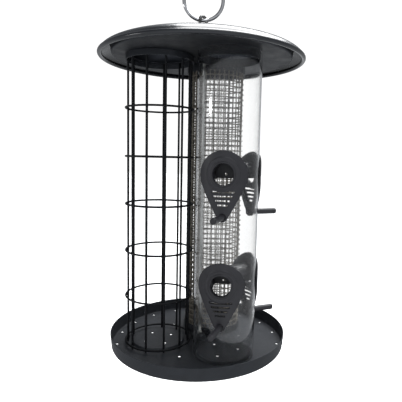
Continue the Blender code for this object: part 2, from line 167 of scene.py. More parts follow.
CAGE_WIRES = 11
CAGE_PHASE = math.radians(15)
CAGE_CIRCLE = 35.8 * MM
CAGE_WIRE_RADIUS = 1.25 * MM
CAGE_RINGS = 6
CAGE_RING_WIRE = 1.15 * MM
CAGE_RING_CIRCLE = CAGE_CIRCLE + CAGE_WIRE_RADIUS + GAP + CAGE_RING_WIRE
WELD_CIRCLE = CAGE_CIRCLE + CAGE_WIRE_RADIUS + GAP / 2
WELD_RADIUS = 1.0 * MM
WELD_STRETCH = 1.25
WIRE_CAP = ((0.0, 0.3), (0.12, 0.7), (0.35, 0.92), (0.8, 1.0))  # distance from the end and size, in radii
WIRE_SPANS = 8

MESH_WIRE = 0.8 * MM
MESH_HOOP_CIRCLE = 35.8 * MM - MESH_WIRE
MESH_UPRIGHT_CIRCLE = MESH_HOOP_CIRCLE - 1.5 * MESH_WIRE
MESH_UPRIGHTS = 35
MESH_HOOPS = 53
MESH_PHASE = math.radians(3)
SEAM_START = math.radians(-95)
SEAM_SQUARES = 6
SEAM_CIRCLE = MESH_UPRIGHT_CIRCLE - 2.2 * MESH_WIRE
BAND_INNER = 36.1 * MM
BAND_WALL = 0.8 * MM
BAND_EDGE = 0.3 * MM

SEED_TUBE_RADIUS = 34.68 * MM
SEED_TUBE_WALL = 1.3 * MM
SEED_TUBE_EDGE = 0.35 * MM

PORT_HEIGHTS = {"lower": 89.3 * MM, "upper": 206.3 * MM}
PORT_ANGLES = {"front": math.radians(-10.5), "side": math.radians(120.0)}
PLATE_RADIUS = 35.0 * MM
PLATE_THICKNESS = 2.0 * MM
HEAD_DROP = 1.0 * MM
PLATE_HEAD = 25.4 * MM
PLATE_TIP = 5.6 * MM
PLATE_EDGE = 0.45 * MM
TIP_DROP = 43.8 * MM
HOLE_RADIUS = 11.3 * MM
HOLE_RIM = 13.3 * MM
HOLE_RIM_RISE = 1.0 * MM
HOLE_RIM_SLOPE = 0.8 * MM
HOLE_RIM_EDGES = (0.5 * MM, 1.0 * MM)
HOLE_RIM_SUNK = 0.3 * MM
RIDGE = (15.2 * MM, 18.6 * MM)
RIDGE_RISE = 0.7 * MM
RIDGE_SUNK = 0.4 * MM
SLIT_HALF_WIDTHS = (12.4 * MM, 10.1 * MM, 7.7 * MM, 5.4 * MM)
SLIT_DROP = 18.3 * MM
SLIT_PITCH = 4.55 * MM
SLIT_HEIGHT = 1.9 * MM
SLIT_MARGIN = 0.6 * MM
SLIT_CORNER = 0.5 * MM
OPENING_CORNER = 1.0 * MM
LINER_RADIUS = 31.4 * MM
LINER_THICKNESS = 1.6 * MM
LINER_HEAD = 21.8 * MM
LINER_TIP = 5.6 * MM
LINER_EDGE = 0.3 * MM
WINDOW_HEAD = 17.4 * MM
WINDOW_TIP = 4.4 * MM
WINDOW_REACH = (15 * MM, 50 * MM)
HOOD_RADIUS = 12.4 * MM
HOOD_WALL = 1.1 * MM
HOOD_REACH = (8.0 * MM, 32.1 * MM)
HOOD_SILL_DROP = 5.3 * MM
HOOD_OVERLAP = 0.3 * MM
HOOD_EDGE = 0.1 * MM
HOOD_BACK_EDGE = 0.25 * MM
VENT_RADIUS = 1.4 * MM
VENT_DROP = 0.9 * MM
PERCH_RADIUS = 3.3 * MM
PERCH_DROP = 44.3 * MM
PERCH_LEAN = math.radians(-10)
PERCH_PIVOT = 36.0 * MM
PERCH_REACH = (-7.0 * MM, 30.4 * MM)
PERCH_FOOT_EDGE, PERCH_END_EDGE = 0.4 * MM, 2.5 * MM

# Steps round circles and along arcs, and the distances within which points are merged

FINEST, WIDE, FINE = 240, 180, 144
BORE_STEPS, DRAIN_STEPS, BOSS_STEPS, HOLE_STEPS = 24, 18, 40, 64
DOME_STEPS, BEAD_STEPS, HEM_STEPS, DOME_INNER_STEPS = 60, 30, 4, 48
CAGE_RING_STEPS, MESH_HOOP_STEPS, SEAM_STEPS = 132, 105, 24
EYE_STEPS, LOOP_STEPS, RING_STEPS = 48, 72, 160
RIM_STEPS, RIDGE_STEPS, HOOD_STEPS, VENT_STEPS, PERCH_STEPS = 96, 120, 48, 20, 40
ROD_SIDES, NUT_SIDES, LOOP_SIDES, RING_SIDES = 24, 72, 24, 28
CAGE_WIRE_SIDES, CAGE_RING_SIDES, MESH_SIDES = 20, 16, 8
WELD_SIDES = (14, 10)
MERGE, FINE_MERGE, FINEST_MERGE = 0.000002, 0.0000005, 0.0000001
NEARLY_STRAIGHT = math.radians(179)
NEARLY_HALF = 0.49
SHARP_FOLD = math.radians(55)
BEND_STRIP = 1.2 * MM
BEND_MARGIN = 1.2


# Finishes. Each is procedural: one noise shifts colour and roughness, another gives the relief.


def texture_node(tree, kind, where, scale, **settings):
    node = tree.nodes.new(kind)
    tree.links.new(where, node.inputs["Vector"])
    node.inputs["Scale"].default_value = scale
    for key, value in settings.items():
        node.inputs[key].default_value = value
    return node


def ranged(tree, value, low, high, start=0.3, end=0.7):
    """The value's range from start to end turned into the range from low to high."""
    node = tree.nodes.new("ShaderNodeMapRange")
    tree.links.new(value, node.inputs["Value"])
    node.inputs["From Min"].default_value = start
    node.inputs["From Max"].default_value = end
    node.inputs["To Min"].default_value = low
    node.inputs["To Max"].default_value = high
    return node.outputs["Result"]


def finish(name, colours, roughness, mottle, grain, relief, stretch=(1, 1, 1), **uniform):
    """A material whose colour and roughness drift between their two ends. mottle and grain are the
    scales per metre of the drift and of the relief, and stretch scales both along each axis."""
    made = bpy.data.materials.new(name)
    made.use_nodes = True
    tree = made.node_tree
    shader = tree.nodes["Principled BSDF"]
    for key, value in uniform.items():
        shader.inputs[key.replace("_", " ")].default_value = value
    place = tree.nodes.new("ShaderNodeTexCoord").outputs["Object"]
    scaled = tree.nodes.new("ShaderNodeMapping")
    scaled.inputs["Scale"].default_value = stretch
    tree.links.new(place, scaled.inputs["Vector"])
    place = scaled.outputs["Vector"]
    drift = texture_node(tree, "ShaderNodeTexNoise", place, mottle, Detail=5.0, Roughness=0.6)
    blend = tree.nodes.new("ShaderNodeMix")
    blend.data_type = "RGBA"
    blend.inputs["A"].default_value = (*colours[0], 1.0)
    blend.inputs["B"].default_value = (*colours[1], 1.0)
    tree.links.new(ranged(tree, drift.outputs["Fac"], 0.0, 1.0), blend.inputs["Factor"])
    tree.links.new(blend.outputs["Result"], shader.inputs["Base Color"])
    speck = texture_node(tree, "ShaderNodeTexNoise", place, grain, Detail=3.0, Roughness=0.5)
    both = tree.nodes.new("ShaderNodeMath")
    both.operation = "MULTIPLY_ADD"
    tree.links.new(speck.outputs["Fac"], both.inputs[0])
    both.inputs[1].default_value = 0.5
    tree.links.new(ranged(tree, drift.outputs["Fac"], 0.0, 0.5, 0.2, 0.8), both.inputs[2])
    tree.links.new(ranged(tree, both.outputs["Value"], *roughness), shader.inputs["Roughness"])
    bump = tree.nodes.new("ShaderNodeBump")
    bump.inputs["Strength"].default_value = 1.0
    bump.inputs["Distance"].default_value = relief
    tree.links.new(speck.outputs["Fac"], bump.inputs["Height"])
    tree.links.new(bump.outputs["Normal"], shader.inputs["Normal"])
    return made


COATED = finish("coated_steel", ((0.0190, 0.0210, 0.0250), (0.0290, 0.0320, 0.0375)), (0.42, 0.62),
                70.0, 900.0, 0.00008, Specular_IOR_Level=0.24)
WIRE = finish("coated_wire", ((0.0060, 0.0065, 0.0080), (0.0130, 0.0140, 0.0160)), (0.42, 0.62),
              150.0, 900.0, 0.00006, Specular_IOR_Level=0.12)
LID_COAT = finish("lid_steel", ((0.0120, 0.0135, 0.0170), (0.0190, 0.0210, 0.0255)), (0.14, 0.26),
                  50.0, 700.0, 0.00004, Specular_IOR_Level=0.5)
CLEAR = finish("clear_plastic", ((0.975, 0.985, 0.985), (1.0, 1.0, 1.0)), (0.02, 0.09),
               40.0, 170.0, 0.00006, (1, 1, 0.06), Transmission_Weight=1.0, IOR=1.42)
PLASTIC = finish("black_plastic", ((0.0165, 0.0160, 0.0195), (0.0250, 0.0245, 0.0290)), (0.36, 0.54),
                 120.0, 2600.0, 0.00004, Specular_IOR_Level=0.45)
GALVANISED = finish("mesh_steel", ((0.120, 0.108, 0.090), (0.250, 0.228, 0.192)), (0.45, 0.65),
                    180.0, 1500.0, 0.00004, Metallic=0.2, Specular_IOR_Level=0.15)
ZINC = finish("zinc", ((0.42, 0.42, 0.40), (0.62, 0.62, 0.60)), (0.25, 0.45),
              300.0, 1800.0, 0.00003, Metallic=1.0)
FORGED = finish("forged_eye", ((0.05, 0.05, 0.05), (0.12, 0.12, 0.12)), (0.16, 0.34),
                400.0, 1400.0, 0.00005, Metallic=1.0)
CHROME = finish("chrome", ((0.36, 0.36, 0.37), (0.50, 0.50, 0.51)), (0.05, 0.14),
                150.0, 900.0, 0.00003, Metallic=1.0)


# Shapes


def arc(centre_x, centre_y, radius, start, end, count):
    """count + 1 points on an arc, both ends included, angles in degrees from +X."""
    angles = [math.radians(start + (end - start) * i / count) for i in range(count + 1)]
    return [(centre_x + radius * math.cos(a), centre_y + radius * math.sin(a)) for a in angles]


def angles_round(count, phase=0.0):
    """Evenly spaced angles once round, in radians."""
    return [phase + 2 * math.pi * i / count for i in range(count)]


def circle(radius, count, centre=(0.0, 0.0), phase=0.0):
    return [(centre[0] + radius * math.sin(a), centre[1] - radius * math.cos(a))
            for a in angles_round(count, phase)]


def rounded(corners, steps=4):
    """A closed outline with each corner (x, y, fillet) turned into an arc that fits its two sides."""
    points = []
    for index, (x, y, fillet) in enumerate(corners):
        here = Vector((x, y))
        before = Vector(corners[index - 1][:2]) - here
        after = Vector(corners[(index + 1) % len(corners)][:2]) - here
        opening = before.angle(after)
        if fillet == 0.0 or opening > NEARLY_STRAIGHT:
            points.append((x, y))
            continue
        shorter = min(before.length, after.length)
        reach = min(fillet / math.tan(opening / 2), NEARLY_HALF * shorter)
        fillet = reach * math.tan(opening / 2)
        before.normalize()
        after.normalize()
        middle = here + (before + after).normalized() * fillet / math.sin(opening / 2)
        first, last = here + before * reach - middle, here + after * reach - middle
        start = math.atan2(first.y, first.x)
        sweep = (math.atan2(last.y, last.x) - start + math.pi) % (2 * math.pi) - math.pi
        for step in range(steps + 1):
            angle = start + sweep * step / steps
            points.append((middle.x + fillet * math.cos(angle), middle.y + fillet * math.sin(angle)))
    return points


def band(inner, outer, bottom, top, fillet):
    """The rounded profile of a ring."""
    return rounded([(outer, top, fillet), (outer, bottom, fillet),
                    (inner, bottom, fillet), (inner, top, fillet)], 3)


def join_rows(shapes, rows, around=True, across=True):
    """Faces between neighbouring rows of vertices. around joins the last row to the first one, and
    across joins each row's own ends."""
    for near, far in zip(rows, rows[1:] + rows[:1] if around else rows[1:]):
        for i in range(len(near) if across else len(near) - 1):
            j = (i + 1) % len(near)
            shapes.faces.new((near[i], near[j], far[j], far[i]))


def add_turned(shapes, profile, steps, centre=(0.0, 0.0, 0.0), closed=True):
    """Adds a profile of (radius, height) turned once round the vertical axis through centre."""
    columns = []
    for angle in angles_round(steps):
        side, front = math.sin(angle), -math.cos(angle)
        columns.append([shapes.verts.new((centre[0] + r * side, centre[1] + r * front, centre[2] + z))
                        for r, z in profile])
    join_rows(shapes, columns, across=closed)


def add_swept(shapes, path, radius, sides, closed, outward):
    """Adds a round wire along path. outward(point) is the direction in which its section starts, and
    radius is a length or a function of the path point's index."""
    sections = []
    count = len(path)
    for index, point in enumerate(path):
        ahead = path[(index + 1) % count] if closed else path[min(index + 1, count - 1)]
        behind = path[index - 1] if closed else path[max(index - 1, 0)]
        heading = (ahead - behind).normalized()
        side = outward(point)
        side = (side - heading * side.dot(heading)).normalized()
        up = heading.cross(side)
        size = radius(index) if callable(radius) else radius
        sections.append([shapes.verts.new(point + (side * math.cos(a) + up * math.sin(a)) * size)
                         for a in angles_round(sides)])
    join_rows(shapes, sections, around=closed)
    if not closed:
        shapes.faces.new(list(reversed(sections[0])))
        shapes.faces.new(sections[-1])


def hoop_path(radius, height, centre, count):
    return [Vector((x, y, height)) for x, y in circle(radius, count, centre)]


def from_axis(centre):
    """The horizontal direction of a point away from the upright axis through centre."""
    def outward(point):
        return Vector((point.x - centre[0], point.y - centre[1], 0.0))

    return outward


def to_mesh(name, shapes, merge=MERGE):
    bmesh.ops.remove_doubles(shapes, verts=shapes.verts, dist=merge)
    bmesh.ops.dissolve_degenerate(shapes, edges=shapes.edges, dist=merge)
    bmesh.ops.recalc_face_normals(shapes, faces=shapes.faces)
    mesh = bpy.data.meshes.new(name)
    shapes.to_mesh(mesh)
    shapes.free()
    return mesh


def settled(obj):
    """The object's mesh with its modifiers applied."""
    seen = obj.evaluated_get(bpy.context.evaluated_depsgraph_get())
    return bpy.data.meshes.new_from_object(seen)


def show(name, mesh, material, slot, body, *nodes, matrix=None, crease=38.0):
    """A finished piece on its body, in place of its CAD nodes. Edges over crease degrees stay sharp."""
    made = bpy.data.objects.new(name, mesh)
    bpy.context.scene.collection.objects.link(made)
    if matrix is not None:
        made.data.transform(matrix)
    made.data.materials.clear()
    made.data.materials.append(material)
    made.data.shade_smooth()
    made.data.set_sharp_from_angle(angle=math.radians(crease))
    weights = made.modifiers.new("weighted", "WEIGHTED_NORMAL")
    weights.keep_sharp = True
    mesh = settled(made)
    made.modifiers.clear()
    made.data = mesh
    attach(made, body)
    if nodes:
        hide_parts(*nodes)
    return made


def scratch(name, data):
    """A helper object, removed again by its user."""
    made = bpy.data.objects.new(name, data)
    bpy.context.scene.collection.objects.link(made)
    return made


# Pressed sheet: a flat, triangulated sheet with its rings and holes, then pressed into shape


def sheet_mesh(name, rings, holes, press, edge):
    """The sheet with rings and holes of (centre, radius, steps). The largest ring is its outline, and
    press gives a flat point its place."""
    points, links = [], []
    for centre, radius, count in rings + holes:
        start = len(points)
        points += [Vector(p) for p in circle(radius, count, centre)]
        links += [(start + i, start + (i + 1) % count) for i in range(count)]
    found, _, faces, *_ = geometry.delaunay_2d_cdt(points, links, [], 0, FINEST_MERGE)
    shapes = bmesh.new()
    verts = [shapes.verts.new(press(p)) for p in found]
    for face in faces:
        middle = sum((found[i] for i in face), Vector((0.0, 0.0))) / len(face)
        if any((middle - Vector(centre[:2])).length < radius * math.cos(math.pi / count)
               for centre, radius, count in holes):
            continue
        shapes.faces.new([verts[i] for i in face])
    for loose in [v for v in shapes.verts if not v.link_faces]:
        shapes.verts.remove(loose)
    source = scratch(name, to_mesh(name, shapes))
    thick = source.modifiers.new("thick", "SOLIDIFY")
    thick.thickness = SHEET
    thick.offset = 0.0
    thick.use_even_offset = True
    thick.use_quality_normals = True
    round_off = source.modifiers.new("round", "BEVEL")
    round_off.width = edge
    round_off.segments = 2
    round_off.limit_method = "ANGLE"
    round_off.angle_limit = SHARP_FOLD
    round_off.use_clamp_overlap = True
    mesh = settled(source)
    bpy.data.objects.remove(source)
    return mesh


def point_along(profile, distance):
    """The point at that distance along an open profile, carried on straight past its end."""
    for index in range(len(profile) - 1):
        start, end = Vector(profile[index]), Vector(profile[index + 1])
        length = (end - start).length
        if distance <= length or index == len(profile) - 2:
            return start + (end - start) * (distance / length)
        distance -= length


def lengths(profile):
    """Each profile point's distance from the first."""
    total, found = 0.0, [0.0]
    for start, end in zip(profile, profile[1:]):
        total += (Vector(end) - Vector(start)).length
        found.append(total)
    return found


def smooth(value):
    """A soft step from 0 to 1."""
    value = min(max(value, 0.0), 1.0)
    return value * value * (3 - 2 * value)


def polar(point, centre=(0.0, 0.0)):
    """The point's distance and direction from centre."""
    offset = Vector((point[0] - centre[0], point[1] - centre[1]))
    return offset.length, offset.normalized() if offset.length > 0 else Vector((0.0, -1.0))


def tray():
    """The seed tray: a raised boss, a raised seat for each tube, drain holes and a flared wall."""
    flat = TRAY_BASE_RADIUS - TRAY_CORNER
    middle = TRAY_CORNER - SHEET / 2
    wall = arc(flat, TRAY_CORNER, middle, -90, -5, 8)
    wall += [(TRAY_RIM_RADIUS - SHEET / 2, z) for z in (TRAY_HEIGHT - TRAY_LIP, TRAY_HEIGHT)]
    origin = (0.0, 0.0)

    def press(point):
        radius, heading = polar(point)
        if radius > flat:
            r, z = point_along(wall, radius - flat)
            return Vector((heading.x * r, heading.y * r, z))
        z = SHEET / 2
        for centre in CENTRES:
            away = (point - centre.xy).length
            z += SEAT_HEIGHT * smooth((SEAT_FOOT_RADIUS - away) / SEAT_SLOPE)
        z += (BOSS_HEIGHT - SHEET) * smooth((BOSS_FOOT_RADIUS - radius) / BOSS_SLOPE)
        return Vector((point[0], point[1], z))

    rings = [(origin, flat + out, WIDE) for out in lengths(wall)]
    rings += [(origin, BOSS_FOOT_RADIUS - BOSS_SLOPE * k / 5, BOSS_STEPS) for k in range(6)]
    for centre in CENTRES:
        rings += [(centre.xy, SEAT_FOOT_RADIUS - SEAT_SLOPE * k / 6, FINE) for k in range(7)]
    spots = circle(RIM_DRAIN_CIRCLE, RIM_DRAINS)
    spots += circle(GAP_DRAIN_CIRCLE, GAP_DRAINS, origin, GAP_DRAIN_PHASE)
    for centre, count, phase in SEAT_DRAINS:
        spots += circle(SEAT_DRAIN_CIRCLE, count, centre.xy, math.radians(phase))
    rings += [(spot, DRAIN_RADIUS + HOLE_MARGIN, DRAIN_STEPS) for spot in spots]
    holes = [(spot, DRAIN_RADIUS, DRAIN_STEPS) for spot in spots] + [(origin, BORE_RADIUS, BORE_STEPS)]
    mesh = sheet_mesh("tray_sheet", rings, holes, press, TRAY_EDGE)
    show("tray_pressed", mesh, COATED, "coated_steel", "feeder", "tray")


def top_pan():
    """The top pan, with turned-down lips round two of its holes and a collar round the third."""
    flat = PAN_RADIUS - PAN_CORNER
    rim = arc(flat, PAN_Z + PAN_CORNER, PAN_CORNER - SHEET / 2, -90, -8, 6)
    rim += [(PAN_RIM_RADIUS - SHEET / 2, z) for z in (PAN_RIM_Z - PAN_LIP, PAN_RIM_Z)]
    origin = (0.0, 0.0)
    lip_end = PAN_Z - HOLE_LIP_DROP
    lips = []
    for centre, hole in ((SEED_CENTRE, SEED_HOLE_RADIUS), (MESH_CENTRE, MESH_HOLE_RADIUS)):
        outer = hole + SHEET / 2 + HOLE_LIP_BEND
        profile = arc(outer, PAN_Z + SHEET / 2 - HOLE_LIP_BEND, HOLE_LIP_BEND, 90, 180, 6)
        profile += [(hole + SHEET / 2, z) for z in (lip_end + PAN_LIP, lip_end)]
        lips.append((centre.xy, outer, profile))

    def press(point):
        radius, heading = polar(point)
        if radius > flat:
            r, z = point_along(rim, radius - flat)
            return Vector((heading.x * r, heading.y * r, z))
        for centre, outer, profile in lips:
            away, heading = polar(point, centre)
            if away < outer:
                r, z = point_along(profile, outer - away)
                return Vector((centre[0] + heading.x * r, centre[1] + heading.y * r, z))
        return Vector((point[0], point[1], PAN_Z + SHEET / 2))

    rings = [(origin, flat + out, WIDE) for out in lengths(rim)]
    rings += [(CAGE_CENTRE.xy, CAGE_HOLE_RADIUS + CAGE_HOLE_MARGIN, FINE),
              (origin, BORE_RADIUS + HOLE_MARGIN, BORE_STEPS)]
    holes = [(CAGE_CENTRE.xy, CAGE_HOLE_RADIUS, FINE), (origin, BORE_RADIUS, BORE_STEPS)]
    for centre, outer, profile in lips:
        depths = lengths(profile)
        rings += [(centre, outer - depth, FINE) for depth in depths[:-1]]
        holes.append((centre, outer - depths[-1], FINE))
    mesh = sheet_mesh("pan_sheet", rings, holes, press, PAN_EDGE)
    show("top_pan_pressed", mesh, COATED, "coated_steel", "feeder", "top_pan")
    shapes = bmesh.new()
    collar = band(COLLAR_RADIUS - COLLAR_WALL, COLLAR_RADIUS, PAN_Z - COLLAR_DROP,
                  PAN_Z + COLLAR_OVERLAP, COLLAR_EDGE)
    add_turned(shapes, collar, FINE, CAGE_CENTRE)
    show("top_pan_collar", to_mesh("collar", shapes), COATED, "coated_steel", "feeder")


def lid():
    """The domed lid, turned in one piece with its rolled bead."""
    def dome(thickness, start, end, count):
        radius, rise = DOME_RADIUS - thickness, DOME_RISE - thickness
        angles = [math.radians(start + (end - start) * (i / count)) for i in range(count + 1)]
        return [(radius * math.cos(a), DOME_Z + rise * math.sin(a)) for a in angles]

    top = math.degrees(math.acos(LID_HOLE_RADIUS / DOME_RADIUS))
    first, rolled, last = BEAD_ROLL
    profile = dome(0.0, top, DOME_OUTER_START, DOME_STEPS)
    profile += arc(BEAD_CIRCLE, DOME_Z, BEAD_RADIUS, first, rolled, BEAD_STEPS)
    profile += arc(BEAD_CIRCLE, DOME_Z, BEAD_RADIUS - BEAD_STEP, rolled, last, HEM_STEPS)
    profile += dome(LID_SHEET, DOME_INNER_START, top, DOME_INNER_STEPS)
    shapes = bmesh.new()
    add_turned(shapes, profile, FINEST)
    return show("lid_dome", to_mesh("lid_dome", shapes), LID_COAT, "lid_steel", "lid_assembly", "lid")


def thread_radius(angle, height, start, end):
    """The radius of the rod, threaded near both ends with a thread that runs out smoothly."""
    phase = (height / THREAD_PITCH - angle / (2 * math.pi)) % 1.0
    depth = THREAD_DEPTH * abs(2 * phase - 1)
    fade = smooth(min(height - start, end - height) / THREAD_PITCH)
    return ROD_RADIUS - depth * fade


def rod():
    """The central rod, with close rows where it is threaded, and narrowed tips."""
    low, high = low_z("central_rod"), high_z("central_rod")
    heights = [low + ROD_TIP]
    while heights[-1] < high - ROD_TIP - ROD_LAST_STEP:
        threaded = (heights[-1] < low + THREAD_LOW + 2 * THREAD_MARGIN
                    or heights[-1] > high - THREAD_HIGH - 2 * THREAD_MARGIN)
        heights.append(heights[-1] + (THREAD_PITCH / 6 if threaded else PLAIN_STEP))
    heights[-1] = high - ROD_TIP
    shapes = bmesh.new()
    rows = []
    for z in heights:
        if z < low + THREAD_LOW + THREAD_MARGIN:
            start, end = low, low + THREAD_LOW
        else:
            start, end = high - THREAD_HIGH, high
        row = []
        for angle in angles_round(ROD_SIDES):
            radius = thread_radius(angle, z, start, end)
            row.append(shapes.verts.new((radius * math.sin(angle), -radius * math.cos(angle), z)))
        rows.append(row)
    join_rows(shapes, rows, around=False)
    for row, z in ((rows[0], low), (rows[-1], high)):
        tip = [shapes.verts.new((v.co.x * ROD_TIP_SHARE, v.co.y * ROD_TIP_SHARE, z)) for v in row]
        join_rows(shapes, [row, tip], around=False)
        shapes.faces.new(tip)
    show("central_rod_threaded", to_mesh("rod", shapes), ZINC, "zinc", "feeder", "central_rod")


def hex_nut(node):
    """A chamfered hexagon nut."""
    bottom, top = low_z(node), high_z(node)
    middle, half = (bottom + top) / 2, (top - bottom) / 2
    face = NUT_FLAT_RADIUS * NUT_FACE_SHARE
    shapes = bmesh.new()
    columns = []
    for angle in angles_round(NUT_SIDES):
        outer = NUT_FLAT_RADIUS / math.cos(NUT_CORNER - (angle % (2 * NUT_CORNER)))
        drop = (outer - face) * math.tan(NUT_CHAMFER)
        upper = [(BORE_RADIUS, half - NUT_MOUTH), (BORE_RADIUS + NUT_MOUTH, half), (face, half),
                 (outer, half - drop)]
        profile = upper + [(r, -z) for r, z in reversed(upper)]
        columns.append([shapes.verts.new((r * math.sin(angle), -r * math.cos(angle), middle + z))
                        for r, z in profile])
    join_rows(shapes, columns)
    show(f"{node}_hex", to_mesh(node, shapes), ZINC, "zinc", "feeder", node, crease=20.0)


def washer(node, body):
    """A flat washer with rounded edges."""
    profile = band(BORE_RADIUS, box_radius(node), low_z(node), high_z(node), WASHER_EDGE)
    shapes = bmesh.new()
    add_turned(shapes, profile, HOLE_STEPS)
    show(f"{node}_turned", to_mesh(node, shapes), ZINC, "zinc", body, node)


def hanging_gear():
    """The washer on the lid, the eye nut and the ring."""
    washer("lid_washer", "lid_assembly")
    base, crown = low_z("eye_nut"), high_z("central_rod") + EYE_CROWN
    neck = EYE_Z - EYE_LOOP_RADIUS + EYE_WIRE / 2
    profile = rounded([(BORE_RADIUS, base, 0.2 * MM), (EYE_BASE_RADIUS, base, 0.5 * MM),
                       (EYE_BASE_RADIUS, crown - EYE_SHOULDER, 1.0 * MM),
                       (EYE_NECK_RADIUS, crown + 0.4 * MM, 1.2 * MM),
                       (EYE_STEM_RADIUS, neck, 0.6 * MM), (0.0, neck, 0.0),
                       (0.0, crown - 1.2 * MM, 0.0), (BORE_RADIUS, crown - 2.2 * MM, 0.0)])
    shapes = bmesh.new()
    add_turned(shapes, profile, EYE_STEPS)
    heading = Vector((math.cos(EYE_TURN), math.sin(EYE_TURN), 0.0))
    facing = heading.cross(Vector((0, 0, 1)))
    loop = [Vector((0, 0, EYE_Z)) + (heading * math.cos(a) + Vector((0, 0, math.sin(a)))) * EYE_LOOP_RADIUS
            for a in angles_round(LOOP_STEPS)]
    add_swept(shapes, loop, EYE_WIRE, LOOP_SIDES, True, lambda point: facing)
    show("eye_nut_forged", to_mesh("eye_nut", shapes), FORGED, "zinc", "eye", "eye_nut")
    shapes = bmesh.new()
    around = [Vector((RING_RADIUS * math.cos(a), 0, RING_Z + RING_RADIUS * math.sin(a)))
              for a in angles_round(RING_STEPS)]
    add_swept(shapes, around, RING_WIRE, RING_SIDES, True, lambda point: Vector((0, 1, 0)))
    show("hanging_ring_round", to_mesh("ring", shapes), CHROME, "chrome", "ring", "hanging_ring")


def capped_wire(shapes, x, y, radius, sides, centre):
    """A straight upright wire with rounded ends, as long as the tubes."""
    stops = [(TUBE_FOOT + out * radius, size) for out, size in WIRE_CAP]
    stops += [(TUBE_FOOT + (TUBE_HEAD - TUBE_FOOT) * k / WIRE_SPANS, 1.0) for k in range(1, WIRE_SPANS)]
    stops += [(TUBE_HEAD - out * radius, size) for out, size in reversed(WIRE_CAP)]
    path = [Vector((x, y, z)) for z, _ in stops]
    add_swept(shapes, path, lambda index: radius * stops[index][1], sides, False, from_axis(centre))


def cage():
    """The upright wires, and hoops outside them with a weld at each crossing."""
    spots = circle(CAGE_CIRCLE, CAGE_WIRES, CAGE_CENTRE.xy, CAGE_PHASE)
    for index, (x, y) in enumerate(spots):
        node = f"cage_wire_{index + 1:02d}"
        shapes = bmesh.new()
        capped_wire(shapes, x, y, CAGE_WIRE_RADIUS, CAGE_WIRE_SIDES, CAGE_CENTRE)
        show(f"{node}_drawn", to_mesh(node, shapes), WIRE, "coated_steel", "feeder", node)
    for index in range(CAGE_RINGS):
        node = f"cage_ring_{index + 1}"
        height = (low_z(node) + high_z(node)) / 2
        shapes = bmesh.new()
        path = hoop_path(CAGE_RING_CIRCLE, height, CAGE_CENTRE.xy, CAGE_RING_STEPS)
        add_swept(shapes, path, CAGE_RING_WIRE, CAGE_RING_SIDES, True, from_axis(CAGE_CENTRE))
        for x, y in circle(WELD_CIRCLE, CAGE_WIRES, CAGE_CENTRE.xy, CAGE_PHASE):
            weld = Matrix.Translation((x, y, height)) @ Matrix.Diagonal((1.0, 1.0, WELD_STRETCH, 1.0))
            bmesh.ops.create_uvsphere(shapes, u_segments=WELD_SIDES[0], v_segments=WELD_SIDES[1],
                                      radius=WELD_RADIUS, matrix=weld)
        show(f"{node}_welded", to_mesh(node, shapes), WIRE, "coated_steel", "feeder", node)


def mesh_seam(shapes, pitch):
    """The rolled mesh's own end, lapped inside its start and half a square out of step."""
    step = 2 * math.pi / MESH_UPRIGHTS

    def on_seam(angle, height):
        offset = (SEAM_CIRCLE * math.sin(angle), -SEAM_CIRCLE * math.cos(angle), height)
        return MESH_CENTRE + Vector(offset)

    angles = [SEAM_START + step * SEAM_SQUARES * k / SEAM_STEPS for k in range(SEAM_STEPS + 1)]
    for index in range(MESH_HOOPS - 1):
        height = TUBE_FOOT + MESH_WIRE + pitch * (index + 0.5)
        path = [on_seam(angle, height) for angle in angles]
        add_swept(shapes, path, MESH_WIRE, MESH_SIDES, False, from_axis(MESH_CENTRE))
    for index in range(SEAM_SQUARES):
        x, y = on_seam(SEAM_START + step * (index + 0.5), 0.0).xy
        capped_wire(shapes, x, y, MESH_WIRE, MESH_SIDES, MESH_CENTRE)


def mesh_tube():
    """The rolled tube of welded mesh, and the hems at its ends."""
    shapes = bmesh.new()
    pitch = (TUBE_HEAD - TUBE_FOOT - 2 * MESH_WIRE) / (MESH_HOOPS - 1)
    for index in range(MESH_HOOPS):
        height = TUBE_FOOT + MESH_WIRE + pitch * index
        path = hoop_path(MESH_HOOP_CIRCLE, height, MESH_CENTRE.xy, MESH_HOOP_STEPS)
        add_swept(shapes, path, MESH_WIRE, MESH_SIDES, True, from_axis(MESH_CENTRE))
    for x, y in circle(MESH_UPRIGHT_CIRCLE, MESH_UPRIGHTS, MESH_CENTRE.xy, MESH_PHASE):
        capped_wire(shapes, x, y, MESH_WIRE, MESH_SIDES, MESH_CENTRE)
    mesh_seam(shapes, pitch)
    show("mesh_tube_welded", to_mesh("mesh", shapes, FINE_MERGE), GALVANISED, "mesh_steel", "feeder",
         "mesh_tube")
    for node in ("mesh_band_lower", "mesh_band_upper"):
        shapes = bmesh.new()
        profile = band(BAND_INNER, BAND_INNER + BAND_WALL, low_z(node), high_z(node), BAND_EDGE)
        add_turned(shapes, profile, FINE, MESH_CENTRE)
        show(f"{node}_rolled", to_mesh(node, shapes), COATED, "coated_steel", "feeder", node)


# Feeding ports. A port's own frame has X across the tube, Y up and Z out of the tube,
# with its origin on the tube's axis at the height of the feeding hole.


def port_frame(side, level):
    """Places a port's own frame in the feeder."""
    turn = Matrix.Rotation(PORT_ANGLES[side], 4, "Z") @ Matrix.Rotation(math.pi / 2, 4, "X")
    return Matrix.Translation(SEED_CENTRE + Vector((0, 0, PORT_HEIGHTS[level]))) @ turn


def teardrop(head, tip, steps=24):
    """A round head and a small round tip, of these radii, joined by tangents and seen straight on."""
    lean = math.degrees(math.asin((head - tip) / (TIP_DROP - HEAD_DROP)))
    return (arc(0, -HEAD_DROP, head, -lean, 180 + lean, 2 * steps)
            + arc(0, -TIP_DROP, tip, 180 + lean, 360 - lean, steps // 2))


